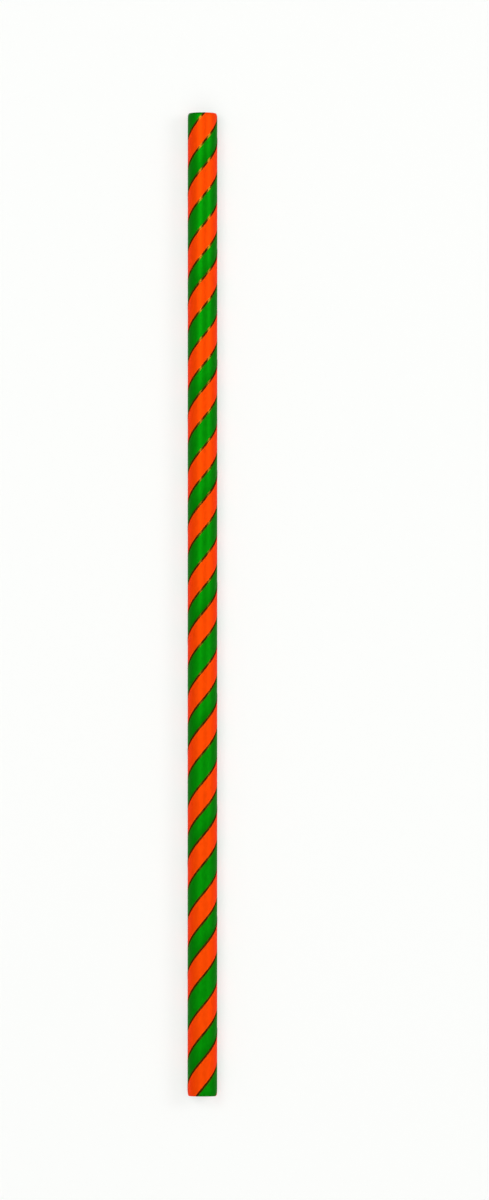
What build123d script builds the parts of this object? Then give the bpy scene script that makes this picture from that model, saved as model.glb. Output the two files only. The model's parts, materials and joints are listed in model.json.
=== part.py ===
from build123d import *
from math import acos, degrees, pi, tan
import os

# A paper drinking straw, lying on its side along Y and resting on Z = 0.
# Its middle is over the origin. Lengths are in millimetres and angles in degrees.

# The tube
length = 197.0
outer_diameter = 6.0
wall = 0.4

# The printed strip that is wound on as the outer ply, and its four equal stripes
strip_thickness = 0.08
strip_width = 15.0
strip_lap = 0.6
stripe_names = ("orange_stripe_1", "green_stripe_1", "orange_stripe_2", "green_stripe_2")

# The bare cut edge at each end
end_rim = 0.15

# How far above the lower end the strip's lapped seam first crosses the upper side
first_seam = 7.3

# How far each stripe's cutting shape runs past the strip, inwards and outwards
cut_margin = 0.2

outer_radius = outer_diameter / 2
bore_radius = outer_radius - wall
strip_radius = outer_radius - strip_thickness
printed_length = length - 2 * end_rim

# Each turn of the strip covers the lap of the turn before and moves on by one lead
visible_width = strip_width - strip_lap
circumference = pi * outer_diameter
winding_angle = acos(visible_width / circumference)
lead = circumference / tan(winding_angle)

# At one height, the strip's visible width goes once round the tube
full_turn = 360.0
stripe_width = strip_width / len(stripe_names)
stripe_turn = full_turn * stripe_width / visible_width
winding_turn = full_turn * length / lead
upper_side = -90.0
seam_turn = upper_side - full_turn * first_seam / lead


def sleeve(inner, outer, height):
    """A plain upright sleeve on the ground plane."""
    return Solid.make_cylinder(outer, height) - Solid.make_cylinder(inner, height)


def printed_layer():
    """The space that the printed strip's turns fill, between the two bare cut edges."""
    return sleeve(strip_radius, outer_radius, printed_length).translate((0, 0, end_rim))


def paper_tube():
    """The wound and glued plies as one tube, let in all round for the printed strip."""
    return sleeve(bore_radius, outer_radius, length) - printed_layer()


def sector(start, end):
    """A flat piece of a ring between two angles, on the ground plane."""
    with BuildSketch() as drawing:
        with BuildLine():
            inside = CenterArc((0, 0), strip_radius - cut_margin, start, end - start)
            outside = CenterArc((0, 0), outer_radius + cut_margin, start, end - start)
            Line(inside @ 0, outside @ 0)
            Line(inside @ 1, outside @ 1)
        make_face()
    return drawing.sketch.face()


def stripe(index):
    """One stripe of the strip: a sector wound up the tube, kept where the print lies.

    The last stripe is narrower, because the next turn laps over its edge."""
    start = seam_turn + index * stripe_turn
    end = min(start + stripe_turn, seam_turn + full_turn)
    ground = (0, 0, 0)
    top = (0, 0, length)
    wound = Solid.extrude_linear_with_rotation(sector(start, end), ground, top, winding_turn)
    return wound & printed_layer()


def laid_down(shape):
    """Turns an upright shape to lie along Y, with its middle over the origin."""
    centred = shape.translate((0, 0, -length / 2))
    return centred.rotate(Axis.X, -90).translate((0, 0, outer_radius))


os.makedirs("parts", exist_ok=True)
export_step(laid_down(paper_tube()), "parts/paper_tube.step")
for index, name in enumerate(stripe_names):
    export_step(laid_down(stripe(index)), f"parts/{name}.step")

print(f"The strip is wound at {degrees(winding_angle):.1f} degrees to the axis")
print(f"One turn of it covers {lead:.2f} mm of the length")
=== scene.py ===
import json
import math

import bpy
import numpy as np
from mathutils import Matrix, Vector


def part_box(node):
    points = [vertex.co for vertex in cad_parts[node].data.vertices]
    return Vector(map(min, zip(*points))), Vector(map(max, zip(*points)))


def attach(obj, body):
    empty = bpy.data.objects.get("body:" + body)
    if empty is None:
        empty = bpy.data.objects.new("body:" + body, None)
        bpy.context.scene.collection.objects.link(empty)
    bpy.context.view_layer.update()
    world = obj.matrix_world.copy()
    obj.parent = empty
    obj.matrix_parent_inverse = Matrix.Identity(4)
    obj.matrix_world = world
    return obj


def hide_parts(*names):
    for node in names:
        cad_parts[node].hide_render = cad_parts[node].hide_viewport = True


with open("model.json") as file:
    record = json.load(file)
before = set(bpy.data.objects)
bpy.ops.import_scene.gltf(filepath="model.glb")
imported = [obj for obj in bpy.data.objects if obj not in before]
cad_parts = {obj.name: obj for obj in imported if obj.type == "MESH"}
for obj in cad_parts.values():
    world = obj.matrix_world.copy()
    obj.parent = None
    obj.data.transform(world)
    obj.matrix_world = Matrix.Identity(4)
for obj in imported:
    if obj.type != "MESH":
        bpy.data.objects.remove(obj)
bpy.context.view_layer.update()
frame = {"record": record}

# A paper drinking straw wound from strips of paper, lying on a pale table.
# Lengths are in metres, and the straw lies along Y with its middle over the origin.

MM = 0.001
FULL_TURN = 2 * math.pi

# The tube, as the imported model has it
tube_low, tube_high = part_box("paper_tube")
mounts = {mount["name"]: mount for mount in frame["record"]["mounts"]}
length = tube_high.y - tube_low.y
radius = mounts["outside"]["dims"]["r_mm"] * MM
axis_height = mounts["outside"]["pos_m"][2]
bore_radius = mounts["bore"]["dims"]["r_mm"] * MM
lower_end = tube_low.y

# The printed strip of the outer ply, measured across its own width
STRIP_WIDTH = 15 * MM
STRIP_LAP = 0.6 * MM
STRIP_THICKNESS = 0.08 * MM
STRIPES = ("orange", "green", "orange", "green")
FIRST_SEAM = 7.3 * MM
visible_width = STRIP_WIDTH - STRIP_LAP
stripe_width = STRIP_WIDTH / len(STRIPES)
circumference = FULL_TURN * radius
winding_angle = math.acos(visible_width / circumference)
lead = circumference / math.tan(winding_angle)

# The foil line along each border of the print
LINE_WIDTH = 0.42 * MM
LINE_RISE = 0.006 * MM
LINE_WANDER = 0.012 * MM

# The lap: the strip's free edge stands on the edge of the turn before
LAP_RISE = 0.03 * MM
LAP_EASE = 1.1 * MM
TUCK_DIP = 0.02 * MM
TUCK_EASE = 1.5 * MM

# The strip's under side, away from its lap
under_side = radius - LAP_RISE - STRIP_THICKNESS

# The cut ends, which the knife has pressed inwards a little, and whose plies' edges meet
# in a crease
PINCH = 0.26 * MM
PINCH_LENGTH = 0.6 * MM
EDGE_ROUND = 0.03 * MM
PLY_CREASE = 0.03 * MM

# The inner ply's joint, which shows in the bore, and where it is in shares of a turn
JOINT_WIDTH = 0.22 * MM
JOINT_DEPTH = 0.03 * MM
JOINT_TURN = 0.37

# The glue between the strip and the plies under it
GLUE = 0.004 * MM

# How finely the surfaces are divided: rows along the straw, rows close to each cut end,
# and columns across
STRIP_ROWS, STRIP_END_ROWS = 560, 14
PRINT_COLUMNS = 24
FOIL_COLUMNS = 5
CORE_ROWS, CORE_END_ROWS = 260, 12
CORE_COLUMNS = 90
JOINT_COLUMNS = 9
CUT_ROWS = 13

# How many of its own widths the columns beside the joint reach to each side
JOINT_REACH = 1.2

# Where two faces meet at more than this, their edge shows sharp
SHARP_ANGLE = math.radians(40)


def smooth(share):
    """A share held between 0 and 1 and eased at both, by 3 t squared less 2 t cubed."""
    held = np.clip(share, 0.0, 1.0)
    return held * held * (3 - 2 * held)


def rows_along(count, end_count):
    """Places along the straw: evenly spaced, and closing up towards each cut end.

    Each end's close ones lie within twice the pinched length, at squares of even shares."""
    zone = 2 * PINCH_LENGTH
    close = zone * np.linspace(0, 1, end_count) ** 2
    plain = np.linspace(zone, length - zone, count)[1:-1]
    return lower_end + np.concatenate((close, plain, length - close[::-1]))


def seam_angle(along):
    """The angle of the strip's seam from the upper line: one turn for each lead."""
    return FULL_TURN * (along - lower_end - FIRST_SEAM) / lead


def place(radii, angles, along):
    """Points at these radii and angles from the upper line, round the straw's axis.

    None is below the table, so what would be is pressed flat on it."""
    across = radii * np.sin(angles)
    height = np.maximum(axis_height + radii * np.cos(angles), 0)
    return np.stack((across, along + 0 * across, height), axis=-1)


def end_pinch(along):
    """How far the wall is pressed in near a cut end: it dies away as an exponential,
    and the very edge is rounded off as a quarter of a circle."""
    from_end = np.minimum(along - lower_end, lower_end + length - along)
    pressed = PINCH * np.exp(-2 * from_end / PINCH_LENGTH)
    corner = np.clip(1 - from_end / EDGE_ROUND, 0, 1)
    return pressed + EDGE_ROUND * (1 - np.sqrt(1 - corner**2))


def print_radius(across, along):
    """The printed surface's radius at a distance across the strip from its seam.

    It is highest at the free edge, eases down to the plain wall beyond the lap, and
    dips at the far side, which the next turn's edge holds down."""
    from_edge = across + LINE_WIDTH / 2
    rise = LAP_RISE * (1 - smooth(from_edge / LAP_EASE))
    tucked = across - (visible_width - TUCK_EASE)
    dip = TUCK_DIP * smooth(tucked / TUCK_EASE)
    return radius - LAP_RISE + rise - dip - end_pinch(along)


def line_edge(border, side, along):
    """Where a foil line's edge runs across the strip: half a width from its border,
    and wandering a little as three sine waves along the straw, each with its own pace.
    The last border is the first one again, a full turn on, and wanders with it."""
    centre = visible_width if border == len(STRIPES) else border * stripe_width
    printed = border % len(STRIPES)
    wander = 0
    for wave in (1, 2, 3):
        pace = (3.6 + 1.24 * printed + 0.68 * side) * MM / wave
        wander = wander + np.sin(along / pace + wave * (printed + 2.1)) / wave
    return centre + side * LINE_WIDTH / 2 + LINE_WANDER * wander / 2


def mesh_piece(name, points, faces, maps):
    """A mesh object from points, four-cornered faces and maps of corner coordinates."""
    mesh = bpy.data.meshes.new(name)
    mesh.vertices.add(len(points))
    mesh.vertices.foreach_set("co", points.astype(np.float32).ravel())
    mesh.loops.add(faces.size)
    mesh.loops.foreach_set("vertex_index", faces.astype(np.int32).ravel())
    mesh.polygons.add(len(faces))
    mesh.polygons.foreach_set("loop_start", np.arange(0, faces.size, 4, dtype=np.int32))
    for title, corners in maps.items():
        layer = mesh.uv_layers.new(name=title)
        layer.uv.foreach_set("vector", corners.astype(np.float32).ravel())
    mesh.update(calc_edges=True)
    mesh.validate()
    mesh.shade_smooth()
    mesh.set_sharp_from_angle(angle=SHARP_ANGLE)
    piece = bpy.data.objects.new(name, mesh)
    bpy.context.scene.collection.objects.link(piece)
    return piece


def grid_faces(rows, columns, round_rows=False, round_columns=False):
    """Corner numbers of the faces of a grid, with its last row or column joined to the
    first where it goes round. Returns the faces and each corner's row and column."""
    row_count = rows if round_rows else rows - 1
    column_count = columns if round_columns else columns - 1
    row, column = np.meshgrid(np.arange(row_count), np.arange(column_count), indexing="ij")
    corner_rows = np.stack((row, row, row + 1, row + 1), axis=-1).reshape(-1, 4)
    corner_columns = np.stack((column, column + 1, column + 1, column), axis=-1).reshape(-1, 4)
    faces = (corner_rows % rows) * columns + corner_columns % columns
    return faces, corner_rows, corner_columns


def band(name, first_edge, last_edge, columns, rise):
    """A band of the printed strip between two edges, as a closed shell.

    At each place along the straw, its section runs across the outside at the print's
    radius and back at the strip's under side. A point's angle is the seam's plus a full
    turn for each visible width that it lies across. Both runs have the same columns, so
    the ends are closed by strips between them. The map holds the distance along the
    strip, which is the arc times the winding angle's sine plus the length times its
    cosine, and the distance across it."""
    along = rows_along(STRIP_ROWS, STRIP_END_ROWS)
    share = np.linspace(0, 1, columns)
    start = first_edge(along)[:, None]
    end = last_edge(along)[:, None]
    across = start + (end - start) * share[None, :]
    places = along[:, None]
    angles = seam_angle(places) + FULL_TURN * across / visible_width
    outer = print_radius(across, places) + rise
    inner = under_side - end_pinch(places) + 0 * across
    radii = np.concatenate((outer, inner[:, ::-1]), axis=1)
    angles = np.concatenate((angles, angles[:, ::-1]), axis=1)
    across = np.concatenate((across, across[:, ::-1]), axis=1)
    points = place(radii, angles, places).reshape(-1, 3)
    ring = 2 * columns
    faces, corner_rows, corner_columns = grid_faces(len(along), ring, round_columns=True)
    arc = radius * angles
    from_end = places - lower_end
    travel = arc * math.sin(winding_angle) + from_end * math.cos(winding_angle)
    strip = np.stack((travel, across), axis=-1) / MM
    corners = strip[corner_rows, corner_columns % ring]
    step = np.arange(columns - 1)
    near = np.stack((step, ring - 1 - step, ring - 2 - step, step + 1), axis=-1)
    far = (len(along) - 1) * ring + near[:, ::-1]
    flat = strip.reshape(-1, 2)
    faces = np.concatenate((faces, near, far))
    corners = np.concatenate((corners, flat[near], flat[far]))
    return mesh_piece(name, points, faces, {"strip": corners})


def stripe(index):
    """A printed stripe: the band between the lines at two borders next to each other."""
    return band(
        f"printed_{STRIPES[index]}_{index // 2 + 1}",
        lambda along: line_edge(index, 1, along),
        lambda along: line_edge(index + 1, -1, along),
        PRINT_COLUMNS,
        0.0,
    )


def foil_line(border):
    """The foil line at a border, a narrow band that stands a little above the print."""
    return band(
        f"foil_line_{border + 1}",
        lambda along: line_edge(border, -1, along),
        lambda along: line_edge(border, 1, along),
        FOIL_COLUMNS,
        LINE_RISE,
    )


def joint_groove(share):
    """How deep the joint is at a share of a turn: a bell curve round the joint's place."""
    off = (share - JOINT_TURN + 0.5) % 1 - 0.5
    return JOINT_DEPTH * np.exp(-((off * visible_width / JOINT_WIDTH) ** 2) * 4)


def core():
    """The two inner plies, wound and glued: a closed tube with the bore.

    A profile runs up the bore, out across the upper cut, down the outside and in across
    the lower cut. It is turned round the axis, and its columns follow the winding, so
    that the inner ply's joint is a groove along one of them. Each ply's cut edge is
    domed, as the root of half a sine wave."""
    along = rows_along(CORE_ROWS, CORE_END_ROWS)
    core_radius = under_side - GLUE
    wall = np.linspace(0, 1, CUT_ROWS + 2)[1:-1]
    domes = PLY_CREASE * (np.abs(np.sin(FULL_TURN * wall)) ** 0.5 - 1)
    bore = np.full(len(along), bore_radius)
    outside = np.full(len(along), core_radius)
    cut_radii = bore_radius + (core_radius - bore_radius) * wall
    places = np.concatenate((along, along[-1] + domes, along[::-1], along[0] - domes[::-1]))
    radii = np.concatenate((bore, cut_radii, outside, cut_radii[::-1]))
    inside = np.concatenate((np.ones(len(bore)), 1 - wall, np.zeros(len(outside)), wall[::-1]))
    even = np.arange(CORE_COLUMNS) / CORE_COLUMNS
    joint_share = JOINT_REACH * JOINT_WIDTH / visible_width
    near_joint = JOINT_TURN + joint_share * np.linspace(-1, 1, JOINT_COLUMNS)
    share = np.unique(np.round(np.concatenate((even, near_joint)), 6))
    held = np.clip(places, along[0], along[-1])[:, None]
    angles = seam_angle(held) + FULL_TURN * share[None, :]
    groove = joint_groove(share)[None, :] * inside[:, None]
    profile = radii[:, None] + groove - end_pinch(held)
    points = place(profile, angles, places[:, None]).reshape(-1, 3)
    rows, columns = len(places), len(share)
    faces, corner_rows, corner_columns = grid_faces(rows, columns, True, True)
    turned = np.append(share, share[0] + 1)[corner_columns]
    stations = np.cumsum(np.append(0, np.hypot(np.diff(places), np.diff(radii))))
    stations = np.append(stations, stations[-1])
    wound = np.stack((turned * circumference, stations[corner_rows]), axis=-1) / MM
    faces = faces[:, ::-1]
    return mesh_piece("wound_core", points, faces, {"strip": wound[:, ::-1]})


# Materials

# The two slants that paper fibres lie in, and how their width compares with their length
FIBRE_SLANTS = (-0.5, 0.35)
FIBRE_SHARE = 0.07


def ink(red, green, blue):
    """A colour from its screen values of 0 to 255, as the linear light that shaders use."""
    screen = np.array((red, green, blue)) / 255
    linear = np.where(screen <= 0.04045, screen / 12.92, ((screen + 0.055) / 1.055) ** 2.4)
    return (*linear.tolist(), 1.0)


def add(tree, kind, settings=None, **inputs):
    """Adds a node, with its settings, and with each input linked or set to a value."""
    made = tree.nodes.new(kind)
    for title, value in (settings or {}).items():
        setattr(made, title, value)
    for title, value in inputs.items():
        found = {socket.name: socket for socket in reversed(made.inputs) if socket.enabled}
        socket = found[title.replace("_", " ")]
        if isinstance(value, bpy.types.NodeSocket):
            tree.links.new(value, socket)
        else:
            socket.default_value = value
    return made


def blank_material(title):
    """A material with an empty node tree and its output node."""
    material = bpy.data.materials.new(title)
    material.use_nodes = True
    tree = material.node_tree
    tree.nodes.clear()
    return material, tree, tree.nodes.new("ShaderNodeOutputMaterial")


def new_group(title, inputs, outputs):
    """A shader node group with named number or vector inputs and outputs."""
    group = bpy.data.node_groups.new(title, "ShaderNodeTree")
    for socket, kind in inputs.items():
        group.interface.new_socket(name=socket, in_out="INPUT", socket_type=kind)
    for socket, kind in outputs.items():
        group.interface.new_socket(name=socket, in_out="OUTPUT", socket_type=kind)
    return group, group.nodes.new("NodeGroupInput"), group.nodes.new("NodeGroupOutput")


def paper_group():
    """Paper as a sheet: fibres laid mostly along it in two slants, and its cloudiness.

    Reads coordinates in millimetres. Puts out a fibre height and a cloud, each about
    0 to 1."""
    number, vector = "NodeSocketFloat", "NodeSocketVector"
    group, given, out = new_group(
        "paper sheet",
        {"Vector": vector, "Fibre width": number, "Cloud size": number},
        {"Fibres": number, "Cloud": number},
    )
    fineness = add(group, "ShaderNodeMath", {"operation": "DIVIDE"})
    fineness.inputs[0].default_value = 1.0
    group.links.new(given.outputs["Fibre width"], fineness.inputs[1])
    layers = []
    for slant in FIBRE_SLANTS:
        laid = add(
            group,
            "ShaderNodeMapping",
            Vector=given.outputs["Vector"],
            Rotation=(0, 0, slant),
            Scale=(FIBRE_SHARE, 1, 1),
        )
        fibres = add(
            group,
            "ShaderNodeTexNoise",
            Vector=laid.outputs["Vector"],
            Scale=fineness.outputs[0],
            Detail=3.0,
            Roughness=0.6,
            Distortion=0.6,
        )
        layers.append(fibres.outputs["Fac"])
    both = add(group, "ShaderNodeMath", {"operation": "MAXIMUM"})
    group.links.new(layers[0], both.inputs[0])
    group.links.new(layers[1], both.inputs[1])
    group.links.new(both.outputs[0], out.inputs["Fibres"])
    coarseness = add(group, "ShaderNodeMath", {"operation": "DIVIDE"})
    coarseness.inputs[0].default_value = 1.0
    group.links.new(given.outputs["Cloud size"], coarseness.inputs[1])
    cloud = add(
        group,
        "ShaderNodeTexNoise",
        Vector=given.outputs["Vector"],
        Scale=coarseness.outputs[0],
        Detail=4.0,
        Roughness=0.55,
    )
    group.links.new(cloud.outputs["Fac"], out.inputs["Cloud"])
    return group


def on_strip(tree):
    """The piece's own map: millimetres along the strip and across it."""
    return add(tree, "ShaderNodeUVMap", {"uv_map": "strip"}).outputs["UV"]


def sheet(tree, group, fibre_width, cloud_size):
    """The paper group in a material, with its sizes in millimetres."""
    return add(
        tree,
        "ShaderNodeGroup",
        {"node_tree": group},
        Vector=on_strip(tree),
        Fibre_width=fibre_width,
        Cloud_size=cloud_size,
    )


def blend_colours(tree, share, low, high):
    """One colour turning into another by a share."""
    mixer = add(tree, "ShaderNodeMix", {"data_type": "RGBA"})
    plain = {socket.identifier: socket for socket in mixer.inputs}
    tree.links.new(share, plain["Factor_Float"])
    for key, colour in (("A_Color", low), ("B_Color", high)):
        if isinstance(colour, bpy.types.NodeSocket):
            tree.links.new(colour, plain[key])
        else:
            plain[key].default_value = colour
    return {socket.identifier: socket for socket in mixer.outputs}["Result_Color"]


def ranged(tree, value, from_low, from_high, to_low, to_high):
    """A value stretched from one range to another, and held inside it."""
    stretched = add(
        tree,
        "ShaderNodeMapRange",
        Value=value,
        From_Min=from_low,
        From_Max=from_high,
        To_Min=to_low,
        To_Max=to_high,
    )
    return stretched.outputs["Result"]


def printed_paper(title, group, light, dark, flank_shade, tint, metal, tucked=None):
    """Smooth paper with a printed ink: cloudy in tone, and fibrous under the ink.

    The flank ink is painted shade: the print turns to it where its surface is seen
    at a slant, towards the straw's flanks. The tint colours its gloss, and a share of
    metal gives gloss the ink's own colour. Where a tucked ink is given, the print
    darkens to it towards the seam, as painted shade beside the lap."""
    material, tree, out = blank_material(title)
    paper = sheet(tree, group, fibre_width=0.05, cloud_size=1.3)
    tone = ranged(tree, paper.outputs["Cloud"], 0.36, 0.64, 0.0, 1.0)
    colour = blend_colours(tree, tone, dark, light)
    # Towards the seam the print darkens to the tucked ink: painted shade beside the lap.
    if tucked:
        across = add(tree, "ShaderNodeSeparateXYZ", Vector=on_strip(tree)).outputs["Y"]
        far_edge = (visible_width - LINE_WIDTH / 2) / MM
        near = ranged(tree, across, far_edge - TUCK_EASE / MM, far_edge, 0.0, 1.0)
        colour = blend_colours(tree, near, colour, tucked)
    # The print turns to the flank ink where it is seen at a slant: painted shade on the
    # straw's flanks.
    slant = add(tree, "ShaderNodeLayerWeight", Blend=0.5)
    flank_shade_share = ranged(tree, slant.outputs["Facing"], 0.05, 0.4, 0.0, 1.0)
    colour = blend_colours(tree, flank_shade_share, colour, flank_shade)
    relief = add(
        tree,
        "ShaderNodeBump",
        Height=paper.outputs["Fibres"],
        Distance=0.012 * MM,
        Strength=0.6,
    )
    shader = add(
        tree,
        "ShaderNodeBsdfPrincipled",
        Base_Color=colour,
        Metallic=metal,
        Roughness=ranged(tree, paper.outputs["Cloud"], 0.3, 0.7, 0.38, 0.48),
        Specular_IOR_Level=0.03,
        Specular_Tint=tint,
        Normal=relief.outputs["Normal"],
    )
    tree.links.new(shader.outputs["BSDF"], out.inputs["Surface"])
    return material


def foil(title, group):
    """Dark bronze foil, pressed on the paper: a mirror broken up by the fibres."""
    material, tree, out = blank_material(title)
    paper = sheet(tree, group, fibre_width=0.08, cloud_size=0.5)
    worn = ranged(tree, paper.outputs["Cloud"], 0.4, 0.7, 0.0, 1.0)
    relief = add(
        tree,
        "ShaderNodeBump",
        Height=paper.outputs["Fibres"],
        Distance=0.006 * MM,
        Strength=0.5,
    )
    shader = add(
        tree,
        "ShaderNodeBsdfPrincipled",
        Base_Color=blend_colours(tree, worn, ink(52, 32, 2), ink(66, 43, 6)),
        Metallic=1.0,
        Specular_Tint=(0.75, 0.5, 0.2, 1),
        Roughness=ranged(tree, paper.outputs["Cloud"], 0.3, 0.7, 0.18, 0.30),
        Normal=relief.outputs["Normal"],
    )
    tree.links.new(shader.outputs["BSDF"], out.inputs["Surface"])
    return material


def bare_paper(title, group):
    """Uncoated white paper, with its fibres standing at the surface."""
    material, tree, out = blank_material(title)
    paper = sheet(tree, group, fibre_width=0.04, cloud_size=0.8)
    tone = ranged(tree, paper.outputs["Cloud"], 0.35, 0.65, 0.0, 1.0)
    relief = add(
        tree,
        "ShaderNodeBump",
        Height=paper.outputs["Fibres"],
        Distance=0.03 * MM,
        Strength=0.8,
    )
    shader = add(
        tree,
        "ShaderNodeBsdfPrincipled",
        Base_Color=blend_colours(tree, tone, ink(226, 219, 203), ink(243, 239, 229)),
        Roughness=ranged(tree, paper.outputs["Fibres"], 0.3, 0.8, 0.75, 0.95),
        Specular_IOR_Level=0.2,
        Normal=relief.outputs["Normal"],
    )
    tree.links.new(shader.outputs["BSDF"], out.inputs["Surface"])
    return material


def dress(piece, material, slot, *nodes):
    """Gives a piece its material and body, and hides the imported parts that it stands for."""
    piece.data.materials.append(material)
    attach(piece, "root")
    if nodes:
        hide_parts(*nodes)


# Each print's light and dark ink, its flank ink of painted shade, the tint of its gloss and
# its share of metal
ORANGE = (ink(232, 69, 4), ink(228, 65, 3), ink(252, 62, 3), ink(255, 150, 40), 0.10)
GREEN = (ink(5, 127, 6), ink(4, 121, 5), ink(4, 115, 5), ink(60, 255, 60), 0.13)
# The green that the lapped stripe darkens to towards the seam: painted shade beside the lap
GREEN_SEAM_SHADE = ink(3, 106, 3)

sheet_group = paper_group()
orange_print = printed_paper("orange print", sheet_group, *ORANGE)
green_print = printed_paper("green print", sheet_group, *GREEN)
seam_shaded_print = printed_paper("green print with seam shade", sheet_group, *GREEN, GREEN_SEAM_SHADE)
bronze_foil = foil("bronze foil", sheet_group)
plain_paper = bare_paper("bare paper", sheet_group)

prints = (orange_print, green_print, orange_print, seam_shaded_print)
for index, colour in enumerate(STRIPES):
    node = f"{colour}_stripe_{index // 2 + 1}"
    dress(stripe(index), prints[index], f"{colour}_print", node)
    dress(foil_line(index), bronze_foil, f"{colour}_print")
dress(core(), plain_paper, "bare_paper", "paper_tube")


# The table and the light

# The pale card that the table and the room show as, and the table's own colour
PALE = (0.981, 0.994, 0.977, 1.0)
TABLE_CARD = (0.97, 0.975, 0.96, 1.0)

# How far the table top reaches each way
TABLE_REACH = 12.0

# How much of the table's look is its own even light, near the straw and far from it
NEAR, FAR = 0.15, 0.80
EVEN_NEAR, EVEN_FAR = 0.6, 1.0

# The room's light on the straw, as a share of full light
ROOM_SHARE = 0.36


def seen_directly(tree):
    """1 for rays from the camera, straight or by way of gloss or glass, and else 0."""
    path = add(tree, "ShaderNodeLightPath")
    share = path.outputs["Is Camera Ray"]
    for title in ("Is Glossy Ray", "Is Transmission Ray"):
        either = add(tree, "ShaderNodeMath", {"operation": "MAXIMUM"})
        tree.links.new(share, either.inputs[0])
        tree.links.new(path.outputs[title], either.inputs[1])
        share = either.outputs[0]
    return share


def table_material():
    """The pale table, part of whose look to the camera is its own even light, so that
    the straw's shadow on it is as light as on bright white card. Far from the straw all
    of it is, and the table runs into the pale room behind."""
    material, tree, out = blank_material("pale table")
    matt = add(tree, "ShaderNodeBsdfDiffuse", Color=TABLE_CARD)
    even = add(tree, "ShaderNodeEmission", Color=PALE, Strength=1.0)
    on_table = add(tree, "ShaderNodeTexCoord")
    off = add(tree, "ShaderNodeVectorMath", {"operation": "LENGTH"})
    tree.links.new(on_table.outputs["Object"], off.inputs[0])
    own = ranged(tree, off.outputs["Value"], NEAR, FAR, EVEN_NEAR, EVEN_FAR)
    share = add(tree, "ShaderNodeMath", {"operation": "MULTIPLY"})
    tree.links.new(seen_directly(tree), share.inputs[0])
    tree.links.new(own, share.inputs[1])
    mixed = add(tree, "ShaderNodeMixShader")
    tree.links.new(share.outputs[0], mixed.inputs["Fac"])
    tree.links.new(matt.outputs[0], mixed.inputs[1])
    tree.links.new(even.outputs[0], mixed.inputs[2])
    tree.links.new(mixed.outputs[0], out.inputs["Surface"])
    return material


def table():
    """A flat table top that reaches far past the straw on every side."""
    signs = ((-1, -1), (1, -1), (1, 1), (-1, 1))
    corners = [(across * TABLE_REACH, along * TABLE_REACH, 0) for across, along in signs]
    mesh = bpy.data.meshes.new("table_top")
    mesh.from_pydata(corners, [], [(0, 1, 2, 3)])
    mesh.materials.append(table_material())
    top = bpy.data.objects.new("table_top", mesh)
    bpy.context.scene.collection.objects.link(top)


def room_light():
    """An even pale room. Straight to the camera and in gloss it shows as pale card."""
    world = bpy.data.worlds.new("pale room")
    bpy.context.scene.world = world
    world.use_nodes = True
    tree = world.node_tree
    tree.nodes.clear()
    lit = add(tree, "ShaderNodeBackground", Color=(1, 1, 1, 1), Strength=ROOM_SHARE)
    shown = add(tree, "ShaderNodeBackground", Color=PALE, Strength=1.0)
    mixed = add(tree, "ShaderNodeMixShader")
    tree.links.new(seen_directly(tree), mixed.inputs["Fac"])
    tree.links.new(lit.outputs[0], mixed.inputs[1])
    tree.links.new(shown.outputs[0], mixed.inputs[2])
    out = tree.nodes.new("ShaderNodeOutputWorld")
    tree.links.new(mixed.outputs[0], out.inputs["Surface"])


def lamp(title, lights, spot, size, share):
    """A soft lamp that faces the straw's middle and lights matt surfaces or gloss. Its
    power gives that share of full light on the table: share times pi squared, times its
    distance squared, over the cosine of its lean."""
    distance = math.hypot(*spot)
    light = bpy.data.lights.new(title, "AREA")
    light.shape = "RECTANGLE"
    light.size, light.size_y = size
    light.energy = share * (math.pi * distance) ** 2 / (spot[2] / distance)
    holder = bpy.data.objects.new(title, light)
    holder.location = spot
    holder.rotation_mode = "QUATERNION"
    holder.rotation_quaternion = holder.location.to_track_quat("Z", "Y")
    holder.visible_camera = False
    holder.visible_diffuse = lights == "matt"
    holder.visible_glossy = lights == "gloss"
    bpy.context.scene.collection.objects.link(holder)


table()
room_light()

# A glint stands clear of the lamp beside it, because in one place they hide each other
lamp("lamp above", "matt", spot=(0.0, -0.60, 1.75), size=(1.70, 1.70), share=0.36)
lamp("left lamp", "matt", spot=(-0.29, 0.19, 0.80), size=(0.24, 0.34), share=0.22)
lamp("left glint", "gloss", spot=(-0.26, 0.25, 0.77), size=(0.26, 0.42), share=0.95)
lamp("right lamp", "matt", spot=(0.75, 0.22, 0.80), size=(0.36, 0.36), share=0.165)
lamp("right glint", "gloss", spot=(0.98, 0.27, 0.77), size=(0.34, 0.40), share=0.40)

# The camera, which looks down on the straw as the photograph does. The places of the
# straw's ends and middle line are in the photograph's pixels.

PHOTO_WIDTH = 489
PHOTO_HEIGHT = 1200
STRAW_TOP = 112.4
STRAW_BOTTOM = 1095.3
STRAW_MIDDLE = 202.45
CAMERA_DISTANCE = 1.5
CAMERA_TILT = math.radians(1.7)
SENSOR = 36
pixels_per_metre = (STRAW_BOTTOM - STRAW_TOP) / length

camera_data = bpy.data.cameras.new("camera above")
camera = bpy.data.objects.new("camera above", camera_data)
bpy.context.scene.collection.objects.link(camera)
bpy.context.scene.camera = camera
view_height = PHOTO_HEIGHT / pixels_per_metre
camera_data.sensor_width = SENSOR
camera_data.lens = SENSOR * CAMERA_DISTANCE / view_height
aim_across = (PHOTO_WIDTH / 2 - STRAW_MIDDLE) / pixels_per_metre
aim_along = ((STRAW_TOP + STRAW_BOTTOM) / 2 - PHOTO_HEIGHT / 2) / pixels_per_metre
camera.location = (
    aim_across,
    aim_along - CAMERA_DISTANCE * math.sin(CAMERA_TILT),
    radius + CAMERA_DISTANCE * math.cos(CAMERA_TILT),
)
camera.rotation_euler = (CAMERA_TILT, 0, 0)

bpy.context.scene.view_settings.view_transform = "Standard"
